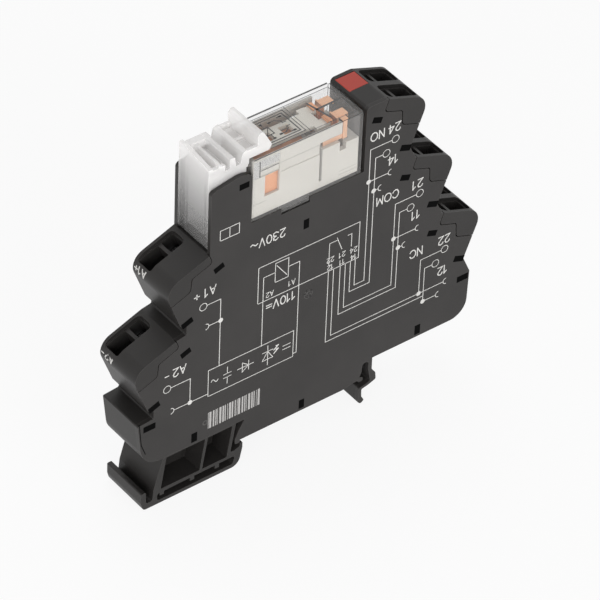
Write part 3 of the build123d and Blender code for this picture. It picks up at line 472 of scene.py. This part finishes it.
lettering = Plate("lettering", ink)
for words, x, z in (
    ("A1", 16.6, 54.3), ("+", 13.1, 54.1), ("A2", 8.9, 35.8), ("-", 5.7, 35.6),
    ("24", 64.6, 76.3), ("NO", 60.0, 76.3), ("14", 64.7, 67.6),
    ("COM", 63.7, 57.6), ("21", 72.0, 57.5), ("11", 72.0, 48.9),
    ("NC", 72.7, 37.8), ("22", 80.5, 37.8), ("12", 80.6, 29.0),
    ("230V~", 31.5, 61.2), ("110V=", 35.6, 42.2),
):
    label(lettering, words, x, z, 2.2, 0.26)
for words, x, z in (
    ("22", 48.7, 47.3), ("21", 51.9, 47.3), ("24", 55.0, 47.1),
    ("12", 48.8, 45.2), ("11", 52.0, 45.2), ("14", 55.1, 45.1),
    ("A2", 32.5, 45.6), ("A1", 38.4, 46.0),
):
    label(lettering, words, x, z, 1.3, 0.16)
frame_box(lettering, 18.8, 21.3, 66.8, 69.5)
frame_box(lettering, 21.3, 23.8, 66.8, 69.5)
lettering.done()
# the two end faces of the coil side
for number, (end_x, tangent_z, words) in enumerate(((-37.84, 50.0, "A1+"), (-46.14, 30.4, "A2-"))):
    end_print = Plate(f"end_lettering_{number}", ink, end_x=(end_x, tangent_z))
    label(end_print, words, -3.9, tangent_z + 0.45, 1.8, 0.3)
    end_print.done()

# Marks of the moulding tool on the cover
marks = Plate("moulded_marks", recess)
for shift_x, shift_z, radius in ((0, 0, 1.1), (-0.5, 0.5, 0.55), (0.35, -0.5, 0.45), (0.6, 0.6, 0.3)):
    ring(marks, 43.0 + shift_x, 40.5 + shift_z, radius, width=0.16)
ring(marks, 42.7, 40.9, 0.34, filled=True)
ring(marks, 16.0, 17.3, 0.55, width=0.3)
marks.done()

# Plain terminal drawing on the relay's top
top_ink = material("grey_ink", (0.10, 0.10, 0.10), 0.6, vary=0.1, bump=0.2, edge_wear_and_highlight=1.05)
drawing = Plate("relay_top_drawing", top_ink, "relay_module", "case_clear", on_top=True)
stroke(drawing, [(-0.4, -4.9), (-0.4, 4.9)], 0.14)
stroke(drawing, [(4.4, 2.7), (5.7, -3.4)], 0.5)
stroke(drawing, [(5.0, 0.1), (11.3, 0.3)], 0.5)
stroke(drawing, [(-11.0, -4.9), (11.5, -4.9), (11.5, 4.9), (-11.0, 4.9)], 0.12)
stroke(drawing, [(-9.9, -3.4), (-2.0, -3.4), (-2.0, 3.4), (-9.9, 3.4), (-9.9, -3.4)], 0.3)
stroke(drawing, [(-11.9, -4.0), (-11.9, 3.6)], 0.34)
stroke(drawing, [(-10.9, -4.1), (-1.2, -4.1), (-1.2, 4.1), (-10.9, 4.1)], 0.2)
for spot in ((-6.2, 2.2), (-6.2, -2.2), (-2.9, 2.7), (-2.9, -2.7), (-8.1, 2.6), (-8.1, -2.6)):
    stroke(drawing, [(spot[0] - 0.12, spot[1]), (spot[0] + 0.12, spot[1])], 0.5)
stroke(drawing, [(-9.0, -1.2), (-7.2, -1.2), (-7.2, 1.2), (-9.0, 1.2), (-9.0, -1.2)], 0.26)
stroke(drawing, [(-8.9, -1.1), (-7.3, 1.1)], 0.2)
stroke(drawing, [(-8.1, 1.2), (-8.1, 2.6)], 0.2)
stroke(drawing, [(-8.1, -1.2), (-8.1, -2.6)], 0.2)
for side in (-1, 1):
    stroke(drawing, [(-6.2, 2.2 * side), (-4.8, 2.2 * side), (-3.6, 1.3 * side)], 0.24)
    stroke(drawing, [(-2.9, 2.7 * side), (-3.7, 2.7 * side)], 0.24)
    stroke(drawing, [(-2.9, 0.7 * side), (-3.7, 0.7 * side), (-3.7, 1.1 * side)], 0.24)
drawing.done()

# Turns of the coil behind the carrier's window
turns = Plate("coil_turns", looks["copper"], "relay_module", "copper")
turn_pitch = 0.27
for k in range(16):
    turns.box((-12.85 + turn_pitch * k, -4.72 - 0.02 * (k % 2), 67.4), (0.115, 0.1, 4.2))
turns.done()

# Strips of the contact set, and the heads of the moving springs
leaf_y = 2.5
strips = Plate("contact_strips", looks["contact_alloy"], "relay_module", "contact_alloy")
strips.box((8.7, -4.9, 73.4), (0.55, 0.1, 2.5))
strips.box((8.75, -3.9, 75.85), (0.75, 1.0, 0.1))
strips.box((5.6, -4.7, 71.65), (2.6, 0.1, 0.55))
for y in (-leaf_y, leaf_y):
    strips.box((9.1, y, 75.95), (1.4, 1.05, 0.1))
    strips.box((10.4, y, 75.6), (0.1, 1.05, 0.4))
strips.done()
for body, y in (("leaf_front", -leaf_y), ("leaf_back", leaf_y)):
    head = Plate(f"{body}_head", looks["copper"], body, "copper")
    head.box((5.7, y, 76.0), (0.55, 1.15, 0.08))
    head.box((5.1, y, 75.85), (0.08, 1.15, 0.2))
    head.done()

# The short seam by the bottom block, and black plates over the latch windows as painted shadow
seam_and_shadow_mat = material(
    "seam_and_shadow_black", (0.003, 0.003, 0.003), 0.7, vary=0.3, bump=0.2, specular=0.02, edge_wear_and_highlight=1.1,
)
seams = Plate("seam_lines", seam_and_shadow_mat)
stroke(seams, [(-1.5, 25.6), (-0.9, 19.4), (0.2, 16.4)], 0.2)
seams.done()


def latch_places():
    """Windows of the cover's latches: (x, z, angle, length, height)."""
    upper = (2.45, 4.5)   # from a level's corner, along X and Z
    lower = (10.9, 12.7)  # from a level's corner, along the level and across it
    for side, rows, corner, step, tilt in (
        (1, 3, (18.7, 77.7), (8.6, -19.6), 20.5), (-1, 2, (-27.2, 56.7), (-8.3, -19.5), 21.0),
    ):
        cosine, sine = math.cos(math.radians(tilt)), math.sin(math.radians(tilt))
        for row in range(rows):
            x, z = corner[0] + row * step[0], corner[1] + row * step[1]
            yield x - side * upper[0], z - upper[1], -side * tilt, 2.4, 1.15
            lower_x = x + side * (lower[0] * cosine - lower[1] * sine)
            yield lower_x, z - lower[0] * sine - lower[1] * cosine, -side * tilt, 2.7, 1.2
    yield from (
        (-1.8, 53.4, 90, 2.3, 1.1), (-42.3, 16.2, 0, 2.9, 1.3), (-1.1, 1.9, 90, 2.2, 1.1),
        (30.9, 7.5, 90, 2.4, 1.2), (43.1, 16.6, 0, 2.9, 1.3), (-30.3, 7.2, 90, 2.3, 1.2),
        (-18.7, 71.6, 0, 2.3, 1.2),
    )


# painted shadow: black plates laid over the latch windows, in front of the modelled recesses
shadows = Plate("latch_shadows", seam_and_shadow_mat)
for x, z, angle, length, height in latch_places():
    lean = math.radians(angle)
    along = (math.cos(lean), 0, math.sin(lean))
    across = (-math.sin(lean), 0, math.cos(lean))
    half = ((length + 0.25) / 2, INK_T / 2, (height + 0.35) / 2)
    shadows.box((x, FRONT, z), half, (along, (0, 1, 0), across))
shadows.done()

# Painted shade as dark strips in the folds of the clip, and the joint lines of the white carrier
fold_shade = Plate("clip_fold_shade", looks["chip_black"], "relay_module", "spring_steel")
fold_shade.box((-14.1, CARRIER_FRONT + 0.01, 73.2), (0.12, 0.02, 2.1))
fold_shade.box((-11.5, CARRIER_FRONT + 0.01, 72.75), (2.4, 0.02, 0.08))
fold_shade.done()
line_mat = material("joint_line", (0.30, 0.29, 0.27), 0.6, vary=0.1, bump=0.2)
joints = Plate("carrier_lines", line_mat, "relay_module", "relay_white")
joints.box((9.6, CARRIER_FRONT - 0.01, 62.1), (2.6, 0.02, 0.06))
joints.box((9.6, CARRIER_FRONT - 0.01, 63.0), (2.6, 0.02, 0.04))
joints.box((-13.9, CARRIER_FRONT - 0.01, 64.2), (1.9, 0.02, 0.05))
joints.box((-3.4, CARRIER_FRONT - 0.01, 72.75), (5.0, 0.02, 0.05))
joints.done()

# Painted shade: dark strips along the edges of the clear case, where the wall is seen end on
case_edge_shade_mat = material("case_edge", (0.06, 0.06, 0.06), 0.2, vary=0.1, alpha=0.72, bump=0.05, edge_wear_and_highlight=1.05)
rims = Plate("case_edge_shade", case_edge_shade_mat, "relay_module", "case_clear")
rim_z = RELAY_TOP - 0.12
long_half = (CASE_RIGHT - CASE_LEFT) / 2 - 0.4
tall_half = (RELAY_TOP - CASE_BOTTOM) / 2 - 0.3
for y, thick in ((CASE_SIDE, 0.24), (-CASE_SIDE, 0.1)):
    rims.box(((CASE_LEFT + CASE_RIGHT) / 2, y, rim_z), (long_half, thick / 2, thick / 2))
rims.box((CASE_RIGHT, 0, rim_z), (0.1, CASE_SIDE - 0.4, 0.08))
for y in (-CASE_SIDE + 0.1, CASE_SIDE - 0.1):
    rims.box((CASE_RIGHT - 0.1, y, (CASE_BOTTOM + RELAY_TOP) / 2), (0.05, 0.05, tall_half))
rims.done()

# Stage, lights and camera
def seen_directly(tree, other, seen):
    """One value for rays that show the background, another for the rays that light the part."""
    rays = tree.nodes.new("ShaderNodeLightPath")
    shown = rays.outputs["Is Camera Ray"]
    for kind in ("Is Glossy Ray", "Is Transmission Ray"):
        either = tree.nodes.new("ShaderNodeMath")
        either.operation = "MAXIMUM"
        tree.links.new(shown, either.inputs[0])
        tree.links.new(rays.outputs[kind], either.inputs[1])
        shown = either.outputs["Value"]
    choice = tree.nodes.new("ShaderNodeMapRange")
    choice.inputs["To Min"].default_value = other
    choice.inputs["To Max"].default_value = seen
    tree.links.new(shown, choice.inputs["Value"])
    return choice.outputs["Result"]


floor_mesh = bpy.data.meshes.new("floor")
corners = [(FLOOR_HALF * x, FLOOR_HALF * y, FLOOR_Z) for x, y in ((-1, -1), (1, -1), (1, 1), (-1, 1))]
floor_mesh.from_pydata(corners, [], [(0, 1, 2, 3)])
floor = bpy.data.objects.new("floor", floor_mesh)
bpy.context.scene.collection.objects.link(floor)
floor_mat = bpy.data.materials.new("floor_white")
floor_mat.use_nodes = True
tree = floor_mat.node_tree
shader = tree.nodes["Principled BSDF"]
shader.inputs["Base Color"].default_value = (0.9, 0.9, 0.9, 1)
shader.inputs["Roughness"].default_value = 0.9
# most of what the camera sees is plain white, and the rest keeps the part's shadow
glow = tree.nodes.new("ShaderNodeEmission")
glow.inputs["Color"].default_value = (1, 1, 1, 1)
glow.inputs["Strength"].default_value = 1.0
blend = tree.nodes.new("ShaderNodeMixShader")
tree.links.new(seen_directly(tree, other=0.0, seen=0.88), blend.inputs["Fac"])
tree.links.new(shader.outputs["BSDF"], blend.inputs[1])
tree.links.new(glow.outputs["Emission"], blend.inputs[2])
tree.links.new(blend.outputs["Shader"], tree.nodes["Material Output"].inputs["Surface"])
floor_mesh.materials.append(floor_mat)

world = bpy.data.worlds.new("studio")
bpy.context.scene.world = world
world.use_nodes = True
world.node_tree.nodes["Background"].inputs["Color"].default_value = (1, 1, 1, 1)
tree = world.node_tree
strength = seen_directly(tree, other=0.42, seen=1.0)
tree.links.new(strength, tree.nodes["Background"].inputs["Strength"])


def soft_light(name, place, watts, width, target=(0, 0, 0.03)):
    """Square area lamp, turned to the middle of the part."""
    data = bpy.data.lights.new(name, "AREA")
    data.energy = watts
    data.size = width
    lamp = bpy.data.objects.new(name, data)
    bpy.context.scene.collection.objects.link(lamp)
    lamp.location = place
    lamp.rotation_euler = (Vector(target) - Vector(place)).to_track_quat("-Z", "Y").to_euler()


soft_light("key", (-0.68, -0.53, 0.25), watts=3.5, width=0.5)
soft_light("front_fill", (0.0, -1.2, 0.35), watts=7.5, width=0.9)
soft_light("top", (0.2, 0.4, 1.2), watts=3.2, width=0.7)

# Camera, fitted to the photograph
camera_data = bpy.data.cameras.new("camera")
camera_data.lens = 284.6
camera_data.sensor_width = 36
camera = bpy.data.objects.new("camera", camera_data)
bpy.context.scene.collection.objects.link(camera)
right = Vector((0.7965, -0.6038, 0.0314))
back = Vector((-0.4755, -0.5935, 0.6493)).normalized()
right = (right - back * right.dot(back)).normalized()
up = back.cross(right)
turn = Matrix((right, up, back)).transposed().to_4x4()
camera.matrix_world = Matrix.Translation((-0.4870, -0.6109, 0.6939)) @ turn
bpy.context.scene.camera = camera
bpy.context.scene.view_settings.view_transform = "Standard"
